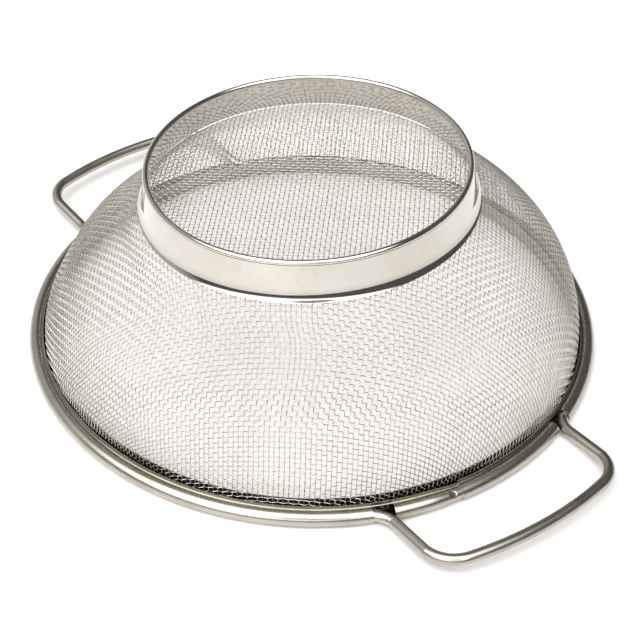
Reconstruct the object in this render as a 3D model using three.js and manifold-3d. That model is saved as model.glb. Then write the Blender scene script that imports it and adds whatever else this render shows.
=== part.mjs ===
// Wire-cloth strainer, rim down and foot ring up: a woven steel bowl bound into a rolled rim strip,
// two bent-wire handles whose tails run inside the rim's bead, and a foot ring spot-welded to the cloth.
// Millimetres, +Z up. The origin is the centre of the plane that the rim rests on, and +X points to the
// handle beside the rim's lap seam.
import * as THREE from "three";
import { mergeVertices } from "three/addons/utils/BufferGeometryUtils.js";
import Module from "manifold-3d";

const wasm = await Module();
wasm.setup();

const DEGREE = Math.PI / 180;

// Rim strip: folded over the edge of the cloth and rolled into a bead outside it.
const RIM_RADIUS = 120;
const RIM_SHEET = 0.4;
const BEAD_OUTER = 3.05;
const BEAD_MIDDLE = BEAD_OUTER - RIM_SHEET / 2;
const BEAD_RADIUS = RIM_RADIUS - BEAD_OUTER;
const BEAD_HEIGHT = BEAD_OUTER;
const INNER_LEG_RADIUS = 112.3;
const INNER_LEG_TOP = [111.65, 8.2];
const OUTER_LEG_RADIUS = 114.2;
const OUTER_LEG_TOP = 6.6;
const FOLD_RADIUS = 0.8;
const REVERSE_FOLD = 0.45;
const RIM_SEGMENTS = 72;

// The bead is cut away for each handle leg, between these angles from the handle's middle.
const NOTCH_START = 19.5 * DEGREE;
const NOTCH_END = 24.6 * DEGREE;
const NOTCH_INNER_RADIUS = 113.2;

// Handles: round wire in one piece from tail to tail.
const WIRE_RADIUS = 2.3;
const WIRE_STEPS = 64;
const TAIL_ANGLE = 15 * DEGREE;
const BEND_ANGLE = 25 * DEGREE;
const BEND_RADIUS = 10.9;
const CORNER_RADIUS = 13.6;
const GRIP_RADIUS = 149.1;
const LIFT_START = 108;
const LIFT_SLOPE = Math.tan(5.5 * DEGREE);
const FRONT_HANDLE_AZIMUTH = 0;
const REAR_HANDLE_AZIMUTH = 184.4 * DEGREE;

// Wire cloth: a thin shell two wires thick, given by its middle surface.
const CLOTH_THICKNESS = 0.74;
const CLOTH_SEGMENTS = 72;
const CLOTH_STEPS = 18;
const CLOTH_PROFILE = [
  [113.3, 0.9],
  [113.25, 4.2],
  [112.3, 11.3],
  [109.9, 19.5],
  [106.2, 27.5],
  [101.3, 35.6],
  [95.0, 42.8],
  [87.0, 50.0],
  [78.0, 57.4],
  [68.65, 65.8],
  [65.9, 67.9],
  [62.5, 68.7],
];

// Foot ring: a rolled top edge, a wall that widens downwards and a flange flared on to the cloth.
const FOOT_SHEET = 0.5;
const FOOT_BEAD_OUTER = 1.2;
const FOOT_BEAD_CENTRE = [64.5, 82.2];
const FOOT_CREASE = [67.4, 71.0];
const FLANGE_BEND = [67.86, 68.5];
const FLANGE_EDGE = [68.95, 67.2];
const FOOT_SEGMENTS = 72;

// The soft bowl and its foot lean a little: everything above the rim turns about a level axis, so that
// the side at LEAN_AZIMUTH rises. The turn fades out between these two heights.
const LEAN_ANGLE = 2.7 * DEGREE;
const LEAN_AZIMUTH = 54 * DEGREE;
const LEAN_PIVOT = new THREE.Vector3(0, 0, 23);
const LEAN_FROM = 4;
const LEAN_FULL = 30;
const LEAN_AXIS = new THREE.Vector3(Math.sin(LEAN_AZIMUTH), -Math.cos(LEAN_AZIMUTH), 0);

// The cloth's shoulder, below the foot ring, is also pushed towards LEAN_AZIMUTH: most on the far side,
// which is dented, and least on the near side. The push starts, peaks and ends at these heights.
const PUSH = 2.5;
const PUSH_SKEW = 1.0;
const PUSH_FROM = 34;
const PUSH_PEAK = 54;
const PUSH_TO = 64;

const STEEL = {
  cloth: { color: 0xb9b3a8, roughness: 0.35, metalness: 1 },
  rim: { color: 0xb4aa9c, roughness: 0.3, metalness: 1 },
  handle: { color: 0x9a9186, roughness: 0.38, metalness: 1 },
  foot: { color: 0xcfc9c1, roughness: 0.12, metalness: 1 },
};

function arc(centre, radius, from, to, steps) {
  const points = [];
  for (let i = 0; i <= steps; i++) {
    const angle = from + ((to - from) * i) / steps;
    points.push(new THREE.Vector2(centre[0] + radius * Math.cos(angle), centre[1] + radius * Math.sin(angle)));
  }
  return points;
}

// The points of a path moved sideways by distance, to the left of its direction.
function offsetPath(path, distance) {
  return path.map((point, i) => {
    const before = path[Math.max(i - 1, 0)];
    const after = path[Math.min(i + 1, path.length - 1)];
    const first = point.clone().sub(before).normalize();
    const second = after.clone().sub(point).normalize();
    const along = first.clone().add(second).normalize();
    const left = new THREE.Vector2(-along.y, along.x);
    const side = i > 0 ? first : second;
    const stretch = Math.max(left.dot(new THREE.Vector2(-side.y, side.x)), 0.5);
    return point.clone().addScaledVector(left, distance / stretch);
  });
}

function sheetSection(middle, thickness) {
  const left = offsetPath(middle, thickness / 2);
  const right = offsetPath(middle, -thickness / 2);
  return [...right, ...left.reverse()];
}

// Turns a section, given as radius and height, about the Z axis into a closed body.
function revolve(section, segments) {
  const geometry = new THREE.LatheGeometry(section, segments).rotateX(Math.PI / 2);
  geometry.deleteAttribute("normal");
  geometry.deleteAttribute("uv");
  return mergeVertices(geometry);
}

function closed(section) {
  return [...section, section[0].clone()];
}

function pushShoulder(geometry) {
  const position = geometry.attributes.position;
  const point = new THREE.Vector3();
  for (let i = 0; i < position.count; i++) {
    point.fromBufferAttribute(position, i);
    const rising = THREE.MathUtils.smoothstep(point.z, PUSH_FROM, PUSH_PEAK);
    const falling = THREE.MathUtils.smoothstep(point.z, PUSH_PEAK, PUSH_TO);
    const facing = Math.cos(Math.atan2(point.y, point.x) - LEAN_AZIMUTH);
    const push = (PUSH - PUSH_SKEW * facing) * rising * (1 - falling);
    point.x += push * Math.cos(LEAN_AZIMUTH);
    point.y += push * Math.sin(LEAN_AZIMUTH);
    position.setXYZ(i, point.x, point.y, point.z);
  }
  return geometry;
}

function leanOver(geometry) {
  const position = geometry.attributes.position;
  const point = new THREE.Vector3();
  for (let i = 0; i < position.count; i++) {
    point.fromBufferAttribute(position, i);
    const share = THREE.MathUtils.smoothstep(point.z, LEAN_FROM, LEAN_FULL);
    point.sub(LEAN_PIVOT).applyAxisAngle(LEAN_AXIS, LEAN_ANGLE * share).add(LEAN_PIVOT);
    position.setXYZ(i, point.x, point.y, point.z);
  }
  return geometry;
}

function toManifold(geometry) {
  const vertProperties = new Float32Array(geometry.attributes.position.array);
  const triVerts = new Uint32Array(geometry.index.array);
  return new wasm.Manifold(new wasm.Mesh({ numProp: 3, vertProperties, triVerts }));
}

function toGeometry(manifold) {
  const mesh = manifold.getMesh();
  const geometry = new THREE.BufferGeometry();
  geometry.setAttribute("position", new THREE.BufferAttribute(new Float32Array(mesh.vertProperties), 3));
  geometry.setIndex(new THREE.BufferAttribute(new Uint32Array(mesh.triVerts), 1));
  return geometry;
}

// The strip's middle line: up the inner leg's back, under the bead, round it and up the outer leg.
function rimStripPath() {
  const foldCentre = [INNER_LEG_RADIUS + FOLD_RADIUS, RIM_SHEET / 2 + FOLD_RADIUS];
  const reverseRadius = OUTER_LEG_RADIUS + REVERSE_FOLD;
  const across = BEAD_RADIUS - reverseRadius;
  const reach = BEAD_MIDDLE + REVERSE_FOLD;
  const up = Math.sqrt(reach * reach - across * across);
  const leaves = Math.atan2(up, -across);
  return [
    new THREE.Vector2(...INNER_LEG_TOP),
    ...arc(foldCentre, FOLD_RADIUS, Math.PI, 1.5 * Math.PI, 2),
    ...arc([BEAD_RADIUS, BEAD_HEIGHT], BEAD_MIDDLE, -Math.PI / 2, leaves, 8),
    ...arc([reverseRadius, BEAD_HEIGHT + up], REVERSE_FOLD, leaves - Math.PI, -Math.PI, 3).slice(1),
    new THREE.Vector2(OUTER_LEG_RADIUS, OUTER_LEG_TOP),
  ];
}

// A wedge that stands through the bead and the outer leg between two azimuths.
function notchCutter(from, to) {
  const shape = new THREE.Shape();
  const outer = RIM_RADIUS + 2;
  shape.absarc(0, 0, outer, from, to, false);
  shape.absarc(0, 0, NOTCH_INNER_RADIUS, to, from, true);
  const geometry = new THREE.ExtrudeGeometry(shape, { depth: 12, bevelEnabled: false, curveSegments: 3 });
  geometry.translate(0, 0, -2);
  geometry.deleteAttribute("normal");
  geometry.deleteAttribute("uv");
  return mergeVertices(geometry);
}

function rimBand() {
  let band = toManifold(revolve(closed(sheetSection(rimStripPath(), RIM_SHEET)), RIM_SEGMENTS));
  for (const azimuth of [FRONT_HANDLE_AZIMUTH, REAR_HANDLE_AZIMUTH]) {
    band = band.subtract(toManifold(notchCutter(azimuth + NOTCH_START, azimuth + NOTCH_END)));
    band = band.subtract(toManifold(notchCutter(azimuth - NOTCH_END, azimuth - NOTCH_START)));
  }
  return toGeometry(band);
}

// Half of a handle's middle line, from the end of its tail to the middle of the grip.
function halfHandle() {
  const tail = arc([0, 0], BEAD_RADIUS, BEND_ANGLE + TAIL_ANGLE, BEND_ANGLE, 8);
  const bendCentreRadius = BEAD_RADIUS + BEND_RADIUS;
  const bendCentre = [bendCentreRadius * Math.cos(BEND_ANGLE), bendCentreRadius * Math.sin(BEND_ANGLE)];
  const bend = arc(bendCentre, BEND_RADIUS, BEND_ANGLE + Math.PI, 1.5 * Math.PI, 6).slice(1);
  const cornerY = bendCentre[1] - BEND_RADIUS - CORNER_RADIUS;
  const cornerReach = GRIP_RADIUS - CORNER_RADIUS;
  const corner = [Math.sqrt(cornerReach * cornerReach - cornerY * cornerY), cornerY];
  const cornerEnd = Math.atan2(corner[1], corner[0]);
  return [
    ...tail,
    ...bend,
    ...arc(corner, CORNER_RADIUS, Math.PI / 2, cornerEnd, 7),
    ...arc([0, 0], GRIP_RADIUS, cornerEnd, 0, 5).slice(1),
  ];
}

function handle(azimuth) {
  const half = halfHandle();
  const otherHalf = half.slice(0, -1).reverse().map((point) => new THREE.Vector2(point.x, -point.y));
  const points = [...half, ...otherHalf].map((point) => {
    const height = BEAD_HEIGHT + Math.max(point.x - LIFT_START, 0) * LIFT_SLOPE;
    return new THREE.Vector3(point.x, point.y, height);
  });
  const section = new THREE.Shape().absarc(0, 0, WIRE_RADIUS, 0, 2 * Math.PI, false);
  const geometry = new THREE.ExtrudeGeometry(section, {
    extrudePath: new THREE.CatmullRomCurve3(points),
    steps: WIRE_STEPS,
    curveSegments: 5,
  });
  geometry.rotateZ(azimuth);
  return geometry;
}

function clothBowl() {
  const outline = new THREE.SplineCurve(CLOTH_PROFILE.map((point) => new THREE.Vector2(...point)));
  const middle = outline.getSpacedPoints(CLOTH_STEPS);
  const crown = CLOTH_PROFILE[CLOTH_PROFILE.length - 1][1];
  const half = CLOTH_THICKNESS / 2;
  const outside = [...offsetPath(middle, -half), new THREE.Vector2(0, crown + half)];
  const inside = [...offsetPath(middle, half), new THREE.Vector2(0, crown - half)].reverse();
  return leanOver(pushShoulder(revolve([...inside, ...outside], CLOTH_SEGMENTS)));
}

function footRing() {
  const flange = new THREE.QuadraticBezierCurve(
    new THREE.Vector2(...FOOT_CREASE),
    new THREE.Vector2(...FLANGE_BEND),
    new THREE.Vector2(...FLANGE_EDGE),
  ).getPoints(4);
  const wallTop = arc(FOOT_BEAD_CENTRE, FOOT_BEAD_OUTER, -36 * DEGREE, -36 * DEGREE, 1)[0];
  const outerFace = [wallTop, ...flange];
  const innerFace = offsetPath(outerFace, -FOOT_SHEET).slice(1);
  const bead = arc(FOOT_BEAD_CENTRE, FOOT_BEAD_OUTER, -36 * DEGREE, 288 * DEGREE, 9);
  return leanOver(revolve(closed([...flange.slice().reverse(), ...bead, ...innerFace]), FOOT_SEGMENTS));
}

function piece(name, geometry, finish) {
  const mesh = new THREE.Mesh(geometry, new THREE.MeshStandardMaterial(finish));
  mesh.name = name;
  return mesh;
}

const strainer = new THREE.Group();
strainer.add(
  piece("mesh_bowl", clothBowl(), STEEL.cloth),
  piece("rim_band", rimBand(), STEEL.rim),
  piece("front_handle", handle(FRONT_HANDLE_AZIMUTH), STEEL.handle),
  piece("rear_handle", handle(REAR_HANDLE_AZIMUTH), STEEL.handle),
  piece("foot_ring", footRing(), STEEL.foot),
);

export default strainer;
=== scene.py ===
import math

import bpy
import numpy as np
from mathutils import Matrix, Vector


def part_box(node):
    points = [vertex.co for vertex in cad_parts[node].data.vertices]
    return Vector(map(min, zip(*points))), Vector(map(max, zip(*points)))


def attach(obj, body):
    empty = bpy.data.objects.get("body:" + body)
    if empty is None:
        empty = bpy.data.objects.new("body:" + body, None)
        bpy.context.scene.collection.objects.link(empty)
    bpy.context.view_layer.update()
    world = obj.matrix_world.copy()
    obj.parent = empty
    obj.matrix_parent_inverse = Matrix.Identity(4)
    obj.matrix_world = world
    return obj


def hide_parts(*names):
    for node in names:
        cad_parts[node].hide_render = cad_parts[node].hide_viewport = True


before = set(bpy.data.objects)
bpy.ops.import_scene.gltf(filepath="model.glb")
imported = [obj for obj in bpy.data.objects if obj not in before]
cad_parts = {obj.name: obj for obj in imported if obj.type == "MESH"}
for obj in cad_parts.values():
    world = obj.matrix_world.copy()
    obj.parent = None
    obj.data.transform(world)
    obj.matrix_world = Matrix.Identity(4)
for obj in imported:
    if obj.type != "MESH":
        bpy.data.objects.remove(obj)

MM = 0.001
CRISP_ANGLE = math.radians(40)
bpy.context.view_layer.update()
RNG = np.random.default_rng(7)

# ---------------------------------------------------------------- dimensions
# As in the CAD model, except for narrower notches, the foot ring's reshaped crease and flange, and the
# cloth, which is wires here and a skin there.

_, RIM_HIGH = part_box("rim_band")
RIM_RADIUS = round(RIM_HIGH.x / MM)
RIM_SHEET = 0.4
BEAD_OUTER = 3.05
BEAD_MIDDLE = BEAD_OUTER - RIM_SHEET / 2
BEAD_RADIUS = RIM_RADIUS - BEAD_OUTER
BEAD_HEIGHT = BEAD_OUTER
INNER_LEG_RADIUS = 112.3
INNER_LEG_TOP = (111.65, 8.2)
OUTER_LEG_RADIUS = 114.2
OUTER_LEG_TOP = 6.6
FOLD_RADIUS = 0.8
REVERSE_FOLD = 0.45

NOTCH_START = math.radians(19.8)
NOTCH_END = math.radians(23.9)
NOTCH_INNER_RADIUS = 113.2

HANDLE_RADIUS = 2.3
TAIL_ANGLE = math.radians(15)
BEND_ANGLE = math.radians(25)
BEND_RADIUS = 10.9
CORNER_RADIUS = 13.6
GRIP_RADIUS = 149.1
LIFT_START = 108
LIFT_SLOPE = math.tan(math.radians(5.5))
HANDLE_AZIMUTHS = {"front_handle": 0.0, "rear_handle": math.radians(184.4)}

CLOTH_PROFILE = [
    (0, 68.7), (20, 68.7), (40, 68.7), (55, 68.7), (62.5, 68.6), (65.9, 67.9), (68.65, 65.8),
    (78.0, 57.4), (87.0, 50.0), (95.0, 42.8), (101.3, 35.6), (106.2, 27.5), (109.9, 19.5),
    (112.3, 11.3), (113.25, 4.2), (113.3, 0.9),
]
PITCH = 1.94
CLOTH_WIRE_RADIUS = 0.18
CRIMP = 0.24
# Places along a wire are in pitches: its points near each crossing, and then, between two crossings, how
# far it bends out of the cloth as a share of the crimp.
BEND_STEPS = np.array((-0.13, -0.05, 0.05, 0.13))
BEND_AT = (0, 0.05, 0.13, 0.87, 0.95, 1)
BEND_HEIGHT = (1.0, 1.0, 0.8, -0.8, -1.0, -1.0)
WEAVE_AZIMUTH = math.radians(49.6)

FOOT_SHEET = 0.5
FOOT_BEAD_OUTER = 1.2
FOOT_BEAD_CENTRE = (64.5, 82.2)
FOOT_BEAD_START, FOOT_BEAD_END = math.radians(-36), math.radians(288)
FOOT_CREASE = (67.15, 71.15)
FLANGE_BEND = (67.9, 68.0)
FLANGE_EDGE = (69.2, 67.0)

LEAN_ANGLE = math.radians(2.7)
LEAN_AZIMUTH = math.radians(54)
LEAN_PIVOT = np.array((0, 0, 23.0))
LEAN_FROM, LEAN_FULL = 4.0, 30.0
PUSH, PUSH_SKEW = 2.5, 1.0
PUSH_FROM, PUSH_PEAK, PUSH_TO = 34.0, 54.0, 64.0

# ---------------------------------------------------------------- curves and meshes


def polar(azimuth, radius=1.0):
    """A point in plan, by its direction and its distance from the axis."""
    return np.array((radius * math.cos(azimuth), radius * math.sin(azimuth)))


def arc(centre, radius, start, end, steps):
    """Points along part of a circle."""
    angles = np.linspace(start, end, steps + 1)
    return np.column_stack((centre[0] + radius * np.cos(angles), centre[1] + radius * np.sin(angles)))


def spline(points, steps):
    """A smooth curve through the points, with that many steps between each two."""
    points = np.asarray(points, float)
    last = len(points) - 1
    t = np.linspace(0, 1, steps, endpoint=False)[:, None]
    rows = []
    for i in range(last):
        before, a, b, after = points[max(i - 1, 0)], points[i], points[i + 1], points[min(i + 2, last)]
        at_a, at_b = (b - before) / 2, (after - a) / 2
        cubic = (2 * a - 2 * b + at_a + at_b) * t**3
        square = (3 * b - 3 * a - 2 * at_a - at_b) * t**2
        rows.append(cubic + square + at_a * t + a)
    return np.vstack((*rows, points[-1:]))


def lengths_along(points):
    """How far along a line each of its points is."""
    return np.concatenate(([0], np.cumsum(np.linalg.norm(np.diff(points, axis=0), axis=1))))


def normals_2d(path):
    """The unit normal to the left of a path at each of its points, longer where the path bends."""
    steps = np.diff(path, axis=0)
    steps /= np.linalg.norm(steps, axis=1)[:, None]
    first = np.vstack((steps[:1], steps))
    second = np.vstack((steps, steps[-1:]))
    along = first + second
    along /= np.linalg.norm(along, axis=1)[:, None]
    stretch = np.maximum((along * first).sum(axis=1), 0.5)
    return np.column_stack((-along[:, 1], along[:, 0])) / stretch[:, None]


def smoothstep(x, low, high):
    """A share that eases from 0 at low to 1 at high."""
    t = np.clip((x - low) / (high - low), 0, 1)
    return t * t * (3 - 2 * t)


def lean_over(points):
    """The lean of the soft bowl and its foot: a turn about a level axis that fades out at the rim."""
    axis = Vector((math.sin(LEAN_AZIMUTH), -math.cos(LEAN_AZIMUTH), 0))
    angles = LEAN_ANGLE * smoothstep(points[..., 2], LEAN_FROM, LEAN_FULL)[..., None]
    k = np.array(axis)
    rest = points - LEAN_PIVOT
    turned = (
        rest * np.cos(angles)
        + np.cross(k, rest) * np.sin(angles)
        + k * (rest @ k)[..., None] * (1 - np.cos(angles))
    )
    return turned + LEAN_PIVOT


def push_shoulder(points):
    """The dent in the cloth's shoulder, below the foot ring on the side that the lean lowers."""
    height = points[..., 2]
    facing = np.cos(np.arctan2(points[..., 1], points[..., 0]) - LEAN_AZIMUTH)
    share = smoothstep(height, PUSH_FROM, PUSH_PEAK) * (1 - smoothstep(height, PUSH_PEAK, PUSH_TO))
    push = (PUSH - PUSH_SKEW * facing) * share
    return points + push[..., None] * np.append(polar(LEAN_AZIMUTH), 0)


def mesh_object(name, points, faces, materials, slot, slot_of_face=None, grain=None):
    """A smooth mesh of points in millimetres and faces of four corners, riding on the strainer.

    Its grain, if it has one, is a place for each point that moves slowly along the drawn lines of the steel
    (x and y) and as fast as the surface does across them (z), in millimetres.
    """
    mesh = bpy.data.meshes.new(name)
    points = np.ascontiguousarray(np.reshape(points, (-1, 3)) * MM, np.float32)
    faces = np.ascontiguousarray(np.reshape(faces, (-1, 4)), np.int32)
    mesh.vertices.add(len(points))
    mesh.vertices.foreach_set("co", points.ravel())
    mesh.loops.add(faces.size)
    mesh.loops.foreach_set("vertex_index", faces.ravel())
    mesh.polygons.add(len(faces))
    mesh.polygons.foreach_set("loop_start", np.arange(0, faces.size, 4, dtype=np.int32))
    mesh.polygons.foreach_set("use_smooth", np.ones(len(faces), bool))
    for material in materials:
        mesh.materials.append(material)
    if slot_of_face is not None:
        mesh.polygons.foreach_set("material_index", np.ascontiguousarray(slot_of_face, np.int32))
    if grain is not None:
        layer = mesh.attributes.new("grain", "FLOAT_VECTOR", "POINT")
        layer.data.foreach_set("vector", np.ascontiguousarray(np.reshape(grain, -1), np.float32))
    mesh.update(calc_edges=True)
    piece = bpy.data.objects.new(name, mesh)
    bpy.context.scene.collection.objects.link(piece)
    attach(piece, "root")
    return piece


def sharpen(piece):
    """Edges that bend by more than the crisp angle stay crisp."""
    piece.data.set_sharp_from_angle(angle=CRISP_ANGLE)


def sheet_grid(middle, normal, thickness, present):
    """A folded sheet round a closed ring, from its middle surface, without the cells that aren't present.

    Returns the points, the faces, and a kind for each face: 0 on the normal's side, 1 on the other side
    and 2 on a cut edge.
    """
    rows, columns = middle.shape[:2]
    top = middle + normal * thickness / 2
    under = middle - normal * thickness / 2
    count = rows * columns
    at = np.arange(count).reshape(rows, columns)
    after = np.roll(at, -1, axis=1)
    a, b = at[:-1], at[1:]
    a2, b2 = after[:-1], after[1:]
    cells = np.stack((a, a2, b2, b), axis=-1)
    faces = [cells[present], cells[present][:, ::-1] + count]
    kinds = [np.zeros(present.sum(), int), np.ones(present.sum(), int)]

    def edges(mask, first, second):
        pairs = cells[mask]
        one, two = pairs[:, first], pairs[:, second]
        faces.append(np.column_stack((one, one + count, two + count, two)))
        kinds.append(np.full(len(pairs), 2))

    def beside(shift, axis):
        other = np.roll(present, shift, axis=axis)
        if axis == 0:
            other[0 if shift == 1 else -1] = False
        return present & ~other

    edges(beside(1, 0), 0, 1)
    edges(beside(-1, 0), 2, 3)
    edges(beside(1, 1), 3, 0)
    edges(beside(-1, 1), 1, 2)
    points = np.concatenate((top.reshape(-1, 3), under.reshape(-1, 3)))
    return points, np.vstack(faces), np.concatenate(kinds)


def turned(path, azimuths):
    """A path of radius and height at each azimuth: a grid of points."""
    radius, height = path[..., 0], path[..., 1]
    if path.ndim == 2:
        radius, height = radius[:, None], height[:, None]
    ones = np.ones(len(azimuths))
    return np.stack((radius * np.cos(azimuths), radius * np.sin(azimuths), height * ones), axis=-1)


def polar_grid(azimuths):
    """Two rows that run slowly round the rim's circle, for the grain of a turned part."""
    return BEAD_RADIUS * np.cos(azimuths), BEAD_RADIUS * np.sin(azimuths)


def tube(centres, radius, sides):
    """A round wire along a line of centres, with flat ends."""
    along = np.gradient(centres, axis=0)
    along /= np.linalg.norm(along, axis=1)[:, None]
    up = np.zeros_like(along)
    up[0] = np.cross(along[0], (0, 0, 1))
    for i in range(1, len(along)):
        up[i] = up[i - 1] - along[i] * (along[i] @ up[i - 1])
        up[i] /= np.linalg.norm(up[i])
    up[0] /= np.linalg.norm(up[0])
    side = np.cross(along, up)
    angles = np.linspace(0, 2 * math.pi, sides, endpoint=False)
    ring = up[:, None] * np.cos(angles)[:, None] + side[:, None] * np.sin(angles)[:, None]
    points = centres[:, None] + ring * radius
    at = np.arange(len(centres) * sides).reshape(len(centres), sides)
    after = np.roll(at, -1, axis=1)
    walls = np.stack((at[:-1], after[:-1], after[1:], at[1:]), axis=-1).reshape(-1, 4)
    caps = []
    for row in (at[0][::-1], at[-1]):
        for i in range(1, sides - 2, 2):
            caps.append((row[0], row[i], row[i + 1], row[i + 2]))
    return points.reshape(-1, 3), np.vstack((walls, caps))


# ---------------------------------------------------------------- materials


def principled(name):
    """A new material, its shader and its node tree."""
    material = bpy.data.materials.new(name)
    material.use_nodes = True
    shader = material.node_tree.nodes["Principled BSDF"]
    return material, shader, material.node_tree


def node(tree, kind, **values):
    """A new node, with each value set on the input or the property of that name."""
    made = tree.nodes.new("ShaderNode" + kind)
    for name, value in values.items():
        if name in made.inputs:
            made.inputs[name].default_value = value
        else:
            setattr(made, name, value)
    return made


def plain_steel(name, colour, roughness):
    """Bare steel of one tone, for parts too thin or too dark to show more."""
    material, shader, _ = principled(name)
    shader.inputs["Base Color"].default_value = (*colour, 1)
    shader.inputs["Metallic"].default_value = 1.0
    shader.inputs["Roughness"].default_value = roughness
    return material


def link_noise(tree, vector, scale, stretch, detail=3.0, roughness=0.55):
    """Noise over a vector, finer along each axis by its stretch. Scale is in features per millimetre."""
    mapping = node(tree, "Mapping", Scale=[scale * s for s in stretch])
    tree.links.new(vector, mapping.inputs["Vector"])
    noise = node(tree, "TexNoise", Scale=1.0, Detail=detail, Roughness=roughness)
    tree.links.new(mapping.outputs["Vector"], noise.inputs["Vector"])
    return noise.outputs["Fac"]


def remap(tree, value, low, high, to_low, to_high):
    """Stretches the part of a value between low and high over the part between to_low and to_high."""
    span = node(tree, "MapRange")
    for name, number in (("From Min", low), ("From Max", high), ("To Min", to_low), ("To Max", to_high)):
        span.inputs[name].default_value = number
    tree.links.new(value, span.inputs["Value"])
    return span.outputs["Result"]


def maths(tree, operation, a, b):
    """One operation on two values, each a number or a socket."""
    made = node(tree, "Math", operation=operation)
    for i, value in enumerate((a, b)):
        if isinstance(value, float):
            made.inputs[i].default_value = value
        else:
            tree.links.new(value, made.inputs[i])
    return made.outputs["Value"]


def blend(tree, share, first, second):
    """A colour between two, each given as a colour or as a socket."""
    mix = node(tree, "Mix", data_type="RGBA")
    tree.links.new(share, mix.inputs["Factor"])
    for socket, value in ((mix.inputs[6], first), (mix.inputs[7], second)):
        if isinstance(value, tuple):
            socket.default_value = (*value, 1)
        else:
            tree.links.new(value, socket)
    return mix.outputs[2]


# How fine the noise of the drawn lines is along them, as a share of how fine it is across them.
ALONG_LINES = 0.012
SCUFF_SCALE = 260.0
# The rings that dried drops leave: how many to a metre, and each one's radius and half its width as
# shares of their spacing.
DROP_SCALE, DROP_RADIUS, DROP_LINE = 62.0, 0.36, 0.022


def worked_steel(name, colour, stain, roughness, lines, line_scale, bump, cloud_scale, water_marks=0.0):
    """Stainless steel with fine lines along its grain, faint clouds of a warmer tone and a few scuffs.

    Lines is how strongly the drawn lines show, line_scale how many there are to a millimetre, bump their
    depth in millimetres and cloud_scale the number of clouds to a millimetre. Water marks are the faint
    rings that drops leave as they dry.
    """
    material, shader, tree = principled(name)
    grain = node(tree, "Attribute", attribute_name="grain").outputs["Vector"]
    place = node(tree, "TexCoord").outputs["Object"]
    drawn = link_noise(tree, grain, line_scale, (ALONG_LINES, ALONG_LINES, 1.0), detail=4.0, roughness=0.7)
    broad = link_noise(tree, grain, line_scale * 0.17, (0.03, 0.03, 1.0), detail=2.0)
    clouds = link_noise(tree, place, cloud_scale * 1000, (1, 1, 1), detail=5.0)
    scuffs = link_noise(tree, place, SCUFF_SCALE, (1, 1, 1.6), detail=6.0, roughness=0.7)
    tone = blend(tree, remap(tree, clouds, 0.42, 0.68, 0.0, 1.0), colour, stain)
    darker = tuple(c * (1 - lines) for c in colour)
    tone = blend(tree, remap(tree, drawn, 0.45, 0.75, 0.0, 0.8), tone, darker)
    if water_marks:
        drops = node(tree, "TexVoronoi", Scale=DROP_SCALE)
        tree.links.new(place, drops.inputs["Vector"])
        away = maths(tree, "ABSOLUTE", maths(tree, "SUBTRACT", drops.outputs["Distance"], DROP_RADIUS), 0.0)
        ring = remap(tree, away, 0.0, DROP_LINE, water_marks, 0.0)
        mark = maths(tree, "MULTIPLY", ring, remap(tree, clouds, 0.4, 0.6, 0.2, 1.0))
        tone = blend(tree, mark, tone, tuple(c * 0.55 for c in stain))
    tree.links.new(tone, shader.inputs["Base Color"])
    rough = maths(tree, "ADD", remap(tree, drawn, 0.3, 0.7, roughness * 0.8, roughness * 1.25),
                  remap(tree, scuffs, 0.6, 0.8, 0.0, 0.12))
    tree.links.new(rough, shader.inputs["Roughness"])
    height = maths(tree, "ADD", drawn, maths(tree, "MULTIPLY", broad, 2.5))
    relief = node(tree, "Bump", Strength=1.0, Distance=bump * MM)
    tree.links.new(height, relief.inputs["Height"])
    tree.links.new(relief.outputs["Normal"], shader.inputs["Normal"])
    shader.inputs["Metallic"].default_value = 1.0
    return material


def cloth_steel(name, colour, stain, roughness):
    """Bright drawn wire, with short duller runs, faint lines along it and clouds over the whole cloth."""
    material, shader, tree = principled(name)
    grain = node(tree, "Attribute", attribute_name="grain").outputs["Vector"]
    place = node(tree, "TexCoord").outputs["Object"]
    runs = link_noise(tree, grain, 0.35, (1.0, 0.0, 9.0), detail=4.0, roughness=0.6)
    drawn = link_noise(tree, grain, 14.0, (0.02, 0.0, 1.0), detail=2.0)
    clouds = link_noise(tree, place, 45.0, (1, 1, 1), detail=3.0)
    tone = blend(tree, remap(tree, clouds, 0.4, 0.7, 0.0, 0.7), colour, stain)
    darker = tuple(c * 0.84 for c in colour)
    tone = blend(tree, remap(tree, runs, 0.52, 0.7, 0.0, 1.0), tone, darker)
    tree.links.new(tone, shader.inputs["Base Color"])
    rough = remap(tree, runs, 0.3, 0.7, roughness * 0.75, roughness * 1.4)
    tree.links.new(rough, shader.inputs["Roughness"])
    relief = node(tree, "Bump", Strength=1.0, Distance=0.0015 * MM)
    tree.links.new(drawn, relief.inputs["Height"])
    tree.links.new(relief.outputs["Normal"], shader.inputs["Normal"])
    shader.inputs["Metallic"].default_value = 1.0
    return material


# ---------------------------------------------------------------- woven wire cloth


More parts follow.
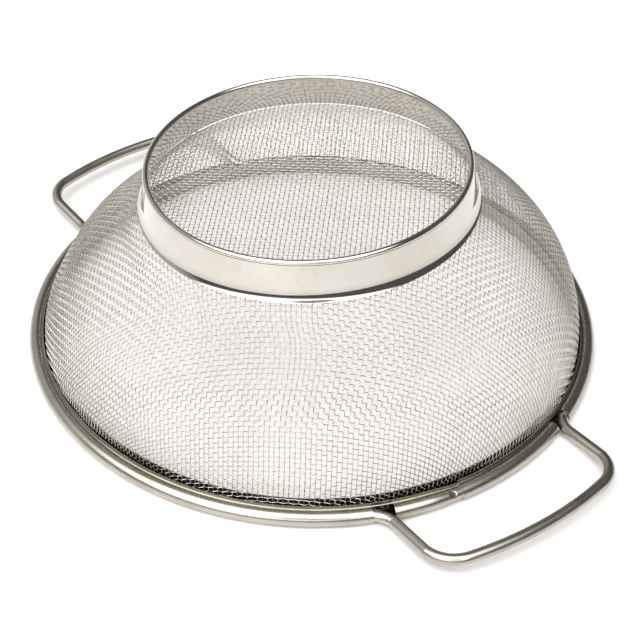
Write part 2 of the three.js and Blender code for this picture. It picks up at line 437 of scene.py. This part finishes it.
class Bowl:
    """The middle surface of the cloth, by distance from the crown along its outline."""

    def __init__(self):
        outline = spline(CLOTH_PROFILE, 40)
        outline[:, 0] = np.maximum(outline[:, 0], 0)
        self.at = lengths_along(outline)
        self.radius, self.height = outline[:, 0], outline[:, 1]
        slopes = np.gradient(outline, self.at, axis=0)
        slopes /= np.linalg.norm(slopes, axis=1)[:, None]
        self.outward, self.rise = slopes[:, 0], slopes[:, 1]
        self.edge = self.at[-1]

    def look_up(self, s):
        """Radius, height and their slopes at a distance. The outline runs on straight past its edge."""
        over = np.maximum(s - self.edge, 0)
        outline = self.radius, self.height, self.outward, self.rise
        r, z, dr, dz = (np.interp(s, self.at, values) for values in outline)
        return r + over * dr, z + over * dz, dr, dz

    def point(self, s, azimuth):
        """The place on the surface at a distance and an azimuth."""
        r, z, _, _ = self.look_up(s)
        return np.stack((r * np.cos(azimuth), r * np.sin(azimuth), z), axis=-1)

    def normal(self, s, azimuth):
        """The outward direction there."""
        _, _, dr, dz = self.look_up(s)
        return np.stack((-dz * np.cos(azimuth), -dz * np.sin(azimuth), dr), axis=-1)


# The cloth is flat, and its net a plain square grid, out to here. Past it, each crossing is found in steps.
FLAT_RADIUS = 55.0
NET_STEPS = 8


def quarter_net(bowl):
    """Crossings over a quarter of the bowl, each one pitch away from its two inner neighbours."""
    size = int(bowl.edge / PITCH) + 2
    s = np.full((size, size), np.nan)
    azimuth = np.full((size, size), np.nan)
    steps = np.arange(size)
    s[:, 0] = s[0, :] = steps * PITCH
    azimuth[:, 0], azimuth[0, :] = 0, math.pi / 2
    for diagonal in range(2, 2 * size - 1):
        i = np.arange(max(1, diagonal - size + 1), min(diagonal, size))
        j = diagonal - i
        fits = (j >= 1) & (j < size)
        i, j = i[fits], j[fits]
        known = ~(np.isnan(s[i - 1, j]) | np.isnan(s[i, j - 1]))
        i, j = i[known], j[known]
        if not len(i):
            continue
        first = bowl.point(s[i - 1, j], azimuth[i - 1, j])
        second = bowl.point(s[i, j - 1], azimuth[i, j - 1])
        flat = np.hypot(i, j) * PITCH < FLAT_RADIUS
        at = np.where(flat, np.hypot(i, j) * PITCH, s[i - 1, j] + s[i, j - 1] - s[i - 1, j - 1])
        beside = azimuth[i - 1, j] + azimuth[i, j - 1] - azimuth[i - 1, j - 1]
        turn = np.where(flat, np.arctan2(j, i), beside)
        for _ in range(NET_STEPS):
            r, _, dr, dz = bowl.look_up(at)
            here = bowl.point(at, turn)
            down = np.stack((dr * np.cos(turn), dr * np.sin(turn), dz), axis=-1)
            around = np.stack((-r * np.sin(turn), r * np.cos(turn), np.zeros_like(r)), axis=-1)
            one, two = here - first, here - second
            miss = np.stack(((one**2).sum(-1) - PITCH**2, (two**2).sum(-1) - PITCH**2), axis=-1)
            a, b = 2 * (one * down).sum(-1), 2 * (one * around).sum(-1)
            c, d = 2 * (two * down).sum(-1), 2 * (two * around).sum(-1)
            det = a * d - b * c
            at = np.where(flat, at, at - (d * miss[:, 0] - b * miss[:, 1]) / det)
            turn = np.where(flat, turn, turn - (a * miss[:, 1] - c * miss[:, 0]) / det)
        good = (at <= bowl.edge + PITCH) & (turn > 0) & (turn < math.pi / 2)
        s[i[good], j[good]] = at[good]
        azimuth[i[good], j[good]] = turn[good]
    return s, azimuth


def whole_net(bowl):
    """Crossings, outward normals and which of them are inside the cloth's edge, over the whole bowl."""
    s, azimuth = quarter_net(bowl)
    size = len(s) - 1
    index = np.arange(-size, size + 1)
    i, j = np.meshgrid(index, index, indexing="ij")
    quarter_s, quarter_azimuth = s[abs(i), abs(j)], azimuth[abs(i), abs(j)]
    inside = quarter_s <= bowl.edge
    points = bowl.point(quarter_s, quarter_azimuth)
    normals = bowl.normal(quarter_s, quarter_azimuth)
    flip = np.stack((np.where(i < 0, -1, 1), np.where(j < 0, -1, 1), np.ones_like(i)), axis=-1)
    c, t = math.cos(WEAVE_AZIMUTH), math.sin(WEAVE_AZIMUTH)
    turn = np.array(((c, t, 0), (-t, c, 0), (0, 0, 1)))
    return lean_over(push_shoulder(points * flip @ turn)), normals * flip @ turn, inside, (i + j) % 2


CLOTH_SIDES = 6
# Each wire's grain starts this far on from its neighbour's, so that no two look alike.
GRAIN_SHIFT = 37.0


def wires(points, normals, inside, over):
    """Round wires along the rows of the net, over and under at its crossings. Yields a mesh for each."""
    angles = (np.arange(CLOTH_SIDES) + 0.5) * 2 * math.pi / CLOTH_SIDES
    for row in range(len(points)):
        held = np.flatnonzero(inside[row])
        if len(held) < 3:
            continue
        nodes = points[row, held[0] : held[-1] + 1]
        up = normals[row, held[0] : held[-1] + 1]
        first_over = over[row, held[0]]
        at = (np.arange(len(nodes))[:, None] + BEND_STEPS).ravel()[2:-2]
        between = at - np.floor(at)
        lower = np.floor(at).astype(int)
        upper = np.minimum(lower + 1, len(nodes) - 1)
        share = between[:, None]
        out = up[lower] * (1 - share) + up[upper] * share
        bend = CRIMP * np.interp(between, BEND_AT, BEND_HEIGHT) * np.where(lower % 2 == 0, 1, -1)
        bend *= 1 if first_over else -1
        line = nodes[lower] * (1 - share) + nodes[upper] * share + out * bend[:, None]
        along = np.gradient(line, axis=0)
        along /= np.linalg.norm(along, axis=1)[:, None]
        out -= along * (out * along).sum(-1)[:, None]
        out /= np.linalg.norm(out, axis=1)[:, None]
        side = np.cross(along, out)
        ring = out[:, None] * np.cos(angles)[:, None] + side[:, None] * np.sin(angles)[:, None]
        tubes = line[:, None] + ring * CLOTH_WIRE_RADIUS
        at = np.arange(len(line) * CLOTH_SIDES).reshape(-1, CLOTH_SIDES)
        after = np.roll(at, -1, axis=1)
        walls = np.stack((at[:-1], after[:-1], after[1:], at[1:]), axis=-1).reshape(-1, 4)
        first, last = at[0][::-1], at[-1]
        caps = [first[[0, 1, 2, 3]], first[[0, 3, 4, 5]], last[[0, 1, 2, 3]], last[[0, 3, 4, 5]]]
        run = lengths_along(line)[:, None] + row * GRAIN_SHIFT
        turn = np.minimum(angles, 2 * math.pi - angles) * CLOTH_WIRE_RADIUS
        grain = np.stack(np.broadcast_arrays(run, 0.0, turn), axis=-1)
        yield tubes.reshape(-1, 3), np.vstack((walls, caps)), grain.reshape(-1, 3)


# A piece of cloth ends with the wire that takes it past this many faces.
MOST_FACES = 90_000
# Coils of wire differ a little in tone and polish.
CLOTH_TONES = (
    ((0.58, 0.56, 0.52), (0.54, 0.51, 0.46), 0.10),
    ((0.54, 0.52, 0.485), (0.51, 0.48, 0.43), 0.13),
    ((0.61, 0.59, 0.555), (0.57, 0.545, 0.50), 0.08),
    ((0.52, 0.495, 0.45), (0.48, 0.45, 0.40), 0.12),
)


def weave():
    """The bowl's wire cloth, in pieces of neighbouring wires."""
    bowl = Bowl()
    points, normals, inside, over = whole_net(bowl)
    steels = [cloth_steel(f"cloth_steel_{i + 1}", *tone) for i, tone in enumerate(CLOTH_TONES)]
    families = {
        "warp": (points, normals, inside, over == 0),
        "weft": (points.swapaxes(0, 1), normals.swapaxes(0, 1), inside.T, over.T == 1),
    }
    for family, net in families.items():
        gathered, faces, grains, tones, held, count = [], [], [], [], 0, 1
        made = list(wires(*net))
        for i, (wire, walls, grain) in enumerate(made):
            gathered.append(wire)
            grains.append(grain)
            faces.append(walls + held)
            tones.append(np.full(len(walls), RNG.choice(len(steels), p=(0.45, 0.25, 0.2, 0.1))))
            held += len(wire)
            if sum(map(len, faces)) > MOST_FACES or i == len(made) - 1:
                shape = np.vstack(gathered), np.vstack(faces), steels
                looks = np.concatenate(tones), np.vstack(grains)
                mesh_object(f"cloth_{family}_{count}", *shape, "wire_cloth", *looks)
                gathered, faces, grains, tones, held, count = [], [], [], [], 0, count + 1
    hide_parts("mesh_bowl")


# ---------------------------------------------------------------- rim strip


def rim_path():
    """The strip's middle line: down the inner leg, under the bead, round it and up the outer leg."""
    fold = (INNER_LEG_RADIUS + FOLD_RADIUS, RIM_SHEET / 2 + FOLD_RADIUS)
    reverse_radius = OUTER_LEG_RADIUS + REVERSE_FOLD
    across = BEAD_RADIUS - reverse_radius
    up = math.sqrt((BEAD_MIDDLE + REVERSE_FOLD) ** 2 - across**2)
    leaves = math.atan2(up, -across)
    bead = arc((BEAD_RADIUS, BEAD_HEIGHT), BEAD_MIDDLE, -math.pi / 2, leaves, 40)
    flat = np.linspace((fold[0], RIM_SHEET / 2), bead[0], 5)[1:-1]
    turn_up = arc((reverse_radius, BEAD_HEIGHT + up), REVERSE_FOLD, leaves - math.pi, -math.pi, 8)[1:]
    leg = np.linspace(turn_up[-1], (OUTER_LEG_RADIUS, OUTER_LEG_TOP), 4)[1:]
    inner = np.linspace(INNER_LEG_TOP, (INNER_LEG_RADIUS, RIM_SHEET / 2 + FOLD_RADIUS), 6)[:-1]
    notch_edge = [(NOTCH_INNER_RADIUS, RIM_SHEET / 2)]
    turn_out = arc(fold, FOLD_RADIUS, math.pi, 1.5 * math.pi, 6)
    return np.vstack((inner, turn_out, notch_edge, flat, bead, turn_up, leg))


# The path's last rows are the end of the reverse bend and the leg above it, which the notches leave whole.
UPPER_LEG_ROWS = 9
# A cell of the strip is cut away or kept by a place this far into it.
INTO_CELL = math.radians(0.05)
RIM_STEP, LAP_STEP = math.radians(0.75), math.radians(0.11)
# The fine steps go on this far past the lap's end, and the coarse ones stop this far short of them.
LAP_MARGIN, STEP_GAP = math.radians(0.5), 0.005
LAP_START, LAP_END = math.radians(-13), math.radians(-6.4)
LAP_TAPER = 0.17
# Where the lap's narrowing starts and is full: by radius along the strip's floor, and also by height past
# LEG_RADIUS, which the outer leg is and the inner one isn't.
FLOOR_FROM, FLOOR_FULL = 113.4, 115.0
LEG_FROM, LEG_FULL = 3.0, 5.0
LEG_RADIUS = 113.5
DIMPLE_AZIMUTH, DIMPLE_ANGLE = math.radians(-8.3), math.radians(53)
DIMPLE_DEPTH, DIMPLE_SIZE = 0.22, 1.3


def lapped(path, azimuths):
    """The strip's section at each azimuth: one end narrows, with a dimple, to slip inside the other."""
    centre = np.array((BEAD_RADIUS, BEAD_HEIGHT))
    signed = (azimuths + math.pi) % (2 * math.pi) - math.pi
    narrowed = LAP_TAPER * smoothstep(signed, LAP_START, LAP_END) * (signed < LAP_END)
    outside = smoothstep(path[:, 0], FLOOR_FROM, FLOOR_FULL)
    outside = np.maximum(outside, smoothstep(path[:, 1], LEG_FROM, LEG_FULL) * (path[:, 0] > LEG_RADIUS))
    inward = (centre - path)[:, None]
    angle = np.arctan2(-inward[..., 1], -inward[..., 0])
    apart = np.hypot(BEAD_OUTER * (angle - DIMPLE_ANGLE), BEAD_RADIUS * (signed - DIMPLE_AZIMUTH))
    dimple = DIMPLE_DEPTH / BEAD_OUTER * np.exp(-((apart / DIMPLE_SIZE) ** 6))
    return path[:, None] + inward * (outside[:, None] * (narrowed + dimple))[..., None]


def rim_azimuths():
    """Even steps round the rim, finer at the lap, with steps on both edges of each notch."""
    edges = []
    for middle in HANDLE_AZIMUTHS.values():
        for side in (-1, 1):
            edges += [middle + side * NOTCH_START, middle + side * NOTCH_END]
    edges = np.sort(np.mod(edges, 2 * math.pi))
    azimuths = []
    for start, end in zip(edges, np.roll(edges, -1)):
        span = (end - start) % (2 * math.pi)
        steps = max(4, round(span / RIM_STEP))
        azimuths.append(start + span * np.arange(steps) / steps)
    azimuths = np.mod(np.concatenate(azimuths), 2 * math.pi)
    lap = np.arange(LAP_START, LAP_END + LAP_MARGIN, LAP_STEP) % (2 * math.pi)
    clear = (azimuths < lap[0] - STEP_GAP) | (azimuths > lap[-1] + STEP_GAP)
    return np.sort(np.concatenate((azimuths[clear], lap)))


def rim():
    """The rolled rim strip, with a notch on each side of both handles, a burnt weld mark at its lap and
    painted shade on its inner side.
    """
    path = rim_path()
    azimuths = rim_azimuths()
    side = normals_2d(path)
    middle = turned(lapped(path, azimuths), azimuths)
    normal = turned(side, azimuths)
    present = np.ones((len(path) - 1, len(azimuths)), bool)
    cells = azimuths + INTO_CELL
    bead_start = np.flatnonzero(path[:, 0] >= BEAD_RADIUS - 0.01)[0]
    for middle_azimuth in HANDLE_AZIMUTHS.values():
        apart = abs((cells - middle_azimuth + math.pi) % (2 * math.pi) - math.pi)
        present[bead_start:-UPPER_LEG_ROWS, (apart > NOTCH_START) & (apart < NOTCH_END)] = False
    points, faces, kinds = sheet_grid(middle, normal, RIM_SHEET, present)
    along = np.stack(np.broadcast_arrays(*polar_grid(azimuths), lengths_along(path)[:, None]), axis=-1)
    grain = np.concatenate((along.reshape(-1, 3), along.reshape(-1, 3)))
    bright = worked_steel(
        "rim_steel", (0.45, 0.43, 0.38), (0.38, 0.355, 0.295),
        roughness=0.26, lines=0.16, line_scale=9.0, bump=0.004, cloud_scale=0.05,
    )
    # Painted shade: the strip's inner side, in the slot behind the cloth and inside the bead, is coloured
    # near-black because it lies in shade.
    painted_shade_inside = plain_steel("rim_inside_painted_shade", (0.06, 0.045, 0.035), 0.35)
    burnt = plain_steel("rim_weld_burn", (0.12, 0.10, 0.07), 0.6)
    # Faces on the strip's inner side take the painted shade, and the outer faces at the dimple take the
    # weld burn.
    slots = np.where(kinds == 0, 1, 0)
    reach = BEAD_RADIUS + BEAD_OUTER * math.cos(DIMPLE_ANGLE)
    dimple = np.array((*polar(DIMPLE_AZIMUTH, reach), BEAD_HEIGHT + BEAD_OUTER * math.sin(DIMPLE_ANGLE)))
    apart = np.linalg.norm(points[faces].mean(axis=1) - dimple, axis=1)
    slots[(apart < DIMPLE_SIZE) & (slots == 0)] = 2
    piece = mesh_object("rolled_rim", points, faces, [bright, painted_shade_inside, burnt], "rim_strip", slots, grain)
    sharpen(piece)
    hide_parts("rim_band")


# ---------------------------------------------------------------- handles


def half_handle():
    """Half of a handle's middle line in plan, from the end of its tail to the middle of the grip."""
    tail = arc((0, 0), BEAD_RADIUS, BEND_ANGLE + TAIL_ANGLE, BEND_ANGLE, 8)
    bend_centre = polar(BEND_ANGLE, BEAD_RADIUS + BEND_RADIUS)
    bend = arc(bend_centre, BEND_RADIUS, BEND_ANGLE + math.pi, 1.5 * math.pi, 6)[1:]
    corner_y = bend_centre[1] - BEND_RADIUS - CORNER_RADIUS
    corner = (math.sqrt((GRIP_RADIUS - CORNER_RADIUS) ** 2 - corner_y**2), corner_y)
    corner_end = math.atan2(corner[1], corner[0])
    return np.vstack((
        tail, bend,
        arc(corner, CORNER_RADIUS, math.pi / 2, corner_end, 7),
        arc((0, 0), GRIP_RADIUS, corner_end, 0, 5)[1:],
    ))


HANDLE_SIDES = 32


def handle(name, azimuth):
    """A bent wire handle. Its tails run inside the rim's bead."""
    half = half_handle()
    plan = np.vstack((half, half[-2::-1] * (1, -1)))
    height = BEAD_HEIGHT + np.maximum(plan[:, 0] - LIFT_START, 0) * LIFT_SLOPE
    line = spline(np.column_stack((plan, height)), 6)
    c, s = math.cos(azimuth), math.sin(azimuth)
    line = line @ np.array(((c, s, 0), (-s, c, 0), (0, 0, 1)))
    points, faces = tube(line, HANDLE_RADIUS, HANDLE_SIDES)
    side = np.arange(HANDLE_SIDES)
    turn = np.minimum(side, HANDLE_SIDES - side) * 2 * math.pi / HANDLE_SIDES * HANDLE_RADIUS
    grain = np.stack(np.broadcast_arrays(lengths_along(line)[:, None], 0.0, turn), axis=-1)
    steel = worked_steel(
        name + "_steel", (0.44, 0.415, 0.38), (0.36, 0.32, 0.27),
        roughness=0.28, lines=0.2, line_scale=7.0, bump=0.004, cloud_scale=0.04,
    )
    piece = mesh_object(name + "_wire", points, faces, [steel], "handle_wire", grain=grain)
    sharpen(piece)
    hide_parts(name)


# ---------------------------------------------------------------- foot ring


def flange_face(t):
    """A point of the flange's outer face, from its crease at 0 to its edge at 1, and its slope there."""
    crease, bend, edge = (np.array(p) for p in (FOOT_CREASE, FLANGE_BEND, FLANGE_EDGE))
    slope = (bend - crease) * (1 - t) + (edge - bend) * t
    return crease * (1 - t) ** 2 + bend * 2 * t * (1 - t) + edge * t**2, slope


FOOT_STEPS = 360


def foot_ring():
    """The polished ring: a sheet with a rolled bead above and a flange below, on the leaning bowl."""
    crease = np.array(FOOT_CREASE)
    flange, _ = flange_face(np.linspace(0, 1, 9)[:, None])
    bead = arc(FOOT_BEAD_CENTRE, FOOT_BEAD_OUTER, FOOT_BEAD_START, FOOT_BEAD_END, 36)
    wall = np.linspace(bead[0], crease, 9)[1:-1]
    outer = np.vstack((bead[:1], wall, flange))
    inner = outer + normals_2d(outer) * -FOOT_SHEET
    section = np.vstack((outer[::-1], bead[1:], inner[1:]))
    azimuths = np.linspace(0, 2 * math.pi, FOOT_STEPS, endpoint=False)
    points = lean_over(turned(section, azimuths))
    rows, columns = points.shape[:2]
    at = np.arange(rows * columns).reshape(rows, columns)
    below, after = np.roll(at, -1, axis=0), np.roll(at, -1, axis=1)
    faces = np.stack((at, after, np.roll(below, -1, axis=1), below), axis=-1)
    grain = np.stack(np.broadcast_arrays(*polar_grid(azimuths), lengths_along(section)[:, None]), axis=-1)
    steel = worked_steel(
        "foot_steel", (0.60, 0.58, 0.54), (0.55, 0.515, 0.455),
        roughness=0.08, lines=0.05, line_scale=5.0, bump=0.002, cloud_scale=0.035, water_marks=0.2,
    )
    piece = mesh_object("foot_ring_sheet", points, faces, [steel], "foot_ring", grain=grain)
    sharpen(piece)
    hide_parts("foot_ring")


WELD_SPOTS = 30
WELD_RADIUS = 0.24
# How far a spot's rim, crown and root stand out from the flange. The root is sunk, which closes the shape.
WELD_RIM, WELD_CROWN, WELD_ROOT = 0.01, 0.06, -0.07
# How each spot varies: along the ring, as a share of the spacing, in from the flange's edge, and in size.
WELD_SHIFT, WELD_INSET, WELD_SIZES = (-0.3, 0.3), (0.5, 1.7), (0.7, 1.2)


def weld_spots():
    """The burnt dots where the flange is spot welded to the cloth."""
    rim_angles = np.arange(8) * math.pi / 4
    flange_length = math.dist(FOOT_CREASE, FLANGE_EDGE)
    points, faces = [], []
    for i in range(WELD_SPOTS):
        azimuth = 2 * math.pi * (i + RNG.uniform(*WELD_SHIFT)) / WELD_SPOTS
        (r, z), slope = flange_face(1 - RNG.uniform(*WELD_INSET) / flange_length)
        slope /= np.linalg.norm(slope)
        across = np.array((*polar(azimuth + math.pi / 2), 0))
        down = np.array((*polar(azimuth, slope[0]), slope[1]))
        out = np.array((*polar(azimuth, -slope[1]), slope[0]))
        spot = np.array((*polar(azimuth, r), z))
        size = WELD_RADIUS * RNG.uniform(*WELD_SIZES)
        spread = np.outer(np.cos(rim_angles), across) + np.outer(np.sin(rim_angles), down)
        ring = spot + out * WELD_RIM + size * spread
        at = len(points)
        points += [spot + out * WELD_CROWN, spot + out * WELD_ROOT, *ring]
        for k in (0, 2, 4, 6):
            corners = at + 2 + k, at + 3 + k, at + 2 + (k + 2) % 8
            faces += [(at, *corners), (at + 1, *corners[::-1])]
    burnt = plain_steel("weld_burn", (0.075, 0.055, 0.04), 0.5)
    mesh_object("weld_spots", lean_over(np.array(points)), faces, [burnt], "foot_ring")


# ---------------------------------------------------------------- camera, table and light

CAMERA_AZIMUTH = math.radians(54.15)
CAMERA_PITCH = math.radians(40.246)
CAMERA_ROLL = math.radians(1.25)
CAMERA_DISTANCE = 646.8
CAMERA_LENS = 84.375
SENSOR = 36.0
AIM_RIGHT, AIM_AHEAD, AIM_UP = 3.3, 0.3, 0.4


def camera():
    """The photograph's view: its angle, distance, lens and slight roll."""
    right = Vector((math.cos(CAMERA_AZIMUTH), math.sin(CAMERA_AZIMUTH), 0))
    ahead = Vector((-math.sin(CAMERA_AZIMUTH), math.cos(CAMERA_AZIMUTH), 0))
    up = Vector((0, 0, 1))
    view = ahead * math.cos(CAMERA_PITCH) - up * math.sin(CAMERA_PITCH)
    top = ahead * math.sin(CAMERA_PITCH) + up * math.cos(CAMERA_PITCH)
    aim = right * AIM_RIGHT + ahead * AIM_AHEAD + up * AIM_UP
    c, s = math.cos(CAMERA_ROLL), math.sin(CAMERA_ROLL)
    x_axis, y_axis = right * c + top * s, top * c - right * s
    data = bpy.data.cameras.new("camera")
    data.lens, data.sensor_width = CAMERA_LENS, SENSOR
    data.clip_start, data.clip_end = 0.01, 100
    made = bpy.data.objects.new("camera", data)
    made.matrix_world = Matrix.Translation((aim - view * CAMERA_DISTANCE) * MM) @ Matrix(
        (x_axis, y_axis, -view)
    ).transposed().to_4x4()
    bpy.context.scene.collection.objects.link(made)
    bpy.context.scene.camera = made


def table():
    """A plain white table, wide enough to have no edge in any view."""
    bpy.ops.mesh.primitive_plane_add(size=12, location=(0, 0, 0))
    top = bpy.context.object
    top.name = "table"
    material, shader, _ = principled("table_white")
    shader.inputs["Base Color"].default_value = (0.88, 0.87, 0.86, 1)
    shader.inputs["Roughness"].default_value = 0.35
    shader.inputs["Specular IOR Level"].default_value = 0.3
    top.data.materials.append(material)


# The room's light, as soft round patches on a sphere: how each joins the ones before, its bearing from
# the camera's own side, turning to the camera's right, its height above the horizon, the angles where it
# starts and is full, and the light outside and inside it. They are a wide soft light overhead, a paler
# wall at the far left, and the camera, which is dark.
LIGHT_PATCHES = (
    ("ADD", -22, 61, 50, 38, 0.12, 3.8),
    ("ADD", -125, 12, 58, 28, 0.0, 0.5),
    ("MULTIPLY", 0, 42, 16, 9, 1.0, 0.1),
)


def studio():
    """A dim room with one wide soft light overhead."""
    world = bpy.data.worlds.new("studio")
    bpy.context.scene.world = world
    world.use_nodes = True
    tree = world.node_tree
    background = tree.nodes["Background"]
    towards = tree.nodes.new("ShaderNodeTexCoord")
    light = None
    for joined, bearing, elevation, start, full, outside, within in LIGHT_PATCHES:
        azimuth = CAMERA_AZIMUTH - math.pi / 2 + math.radians(bearing)
        height = math.radians(elevation)
        facing = node(tree, "VectorMath", operation="DOT_PRODUCT")
        facing.inputs[1].default_value = (*polar(azimuth, math.cos(height)), math.sin(height))
        tree.links.new(towards.outputs["Generated"], facing.inputs[0])
        patch = node(tree, "MapRange", interpolation_type="SMOOTHSTEP")
        patch.inputs["From Min"].default_value = math.cos(math.radians(start))
        patch.inputs["From Max"].default_value = math.cos(math.radians(full))
        patch.inputs["To Min"].default_value = outside
        patch.inputs["To Max"].default_value = within
        tree.links.new(facing.outputs["Value"], patch.inputs["Value"])
        light = maths(tree, joined, light, patch.outputs["Result"]) if light else patch.outputs["Result"]
    # Seen past the table, the room is as white as the table. Only reflections and shadows see it dim.
    seen = tree.nodes.new("ShaderNodeLightPath")
    light = maths(tree, "MAXIMUM", light, seen.outputs["Is Camera Ray"])
    tree.links.new(light, background.inputs["Strength"])
    background.inputs["Color"].default_value = (1, 0.99, 0.98, 1)
    bpy.context.scene.view_settings.view_transform = "Standard"


camera()
table()
studio()
weave()
rim()
for handle_name, handle_azimuth in HANDLE_AZIMUTHS.items():
    handle(handle_name, handle_azimuth)
foot_ring()
weld_spots()
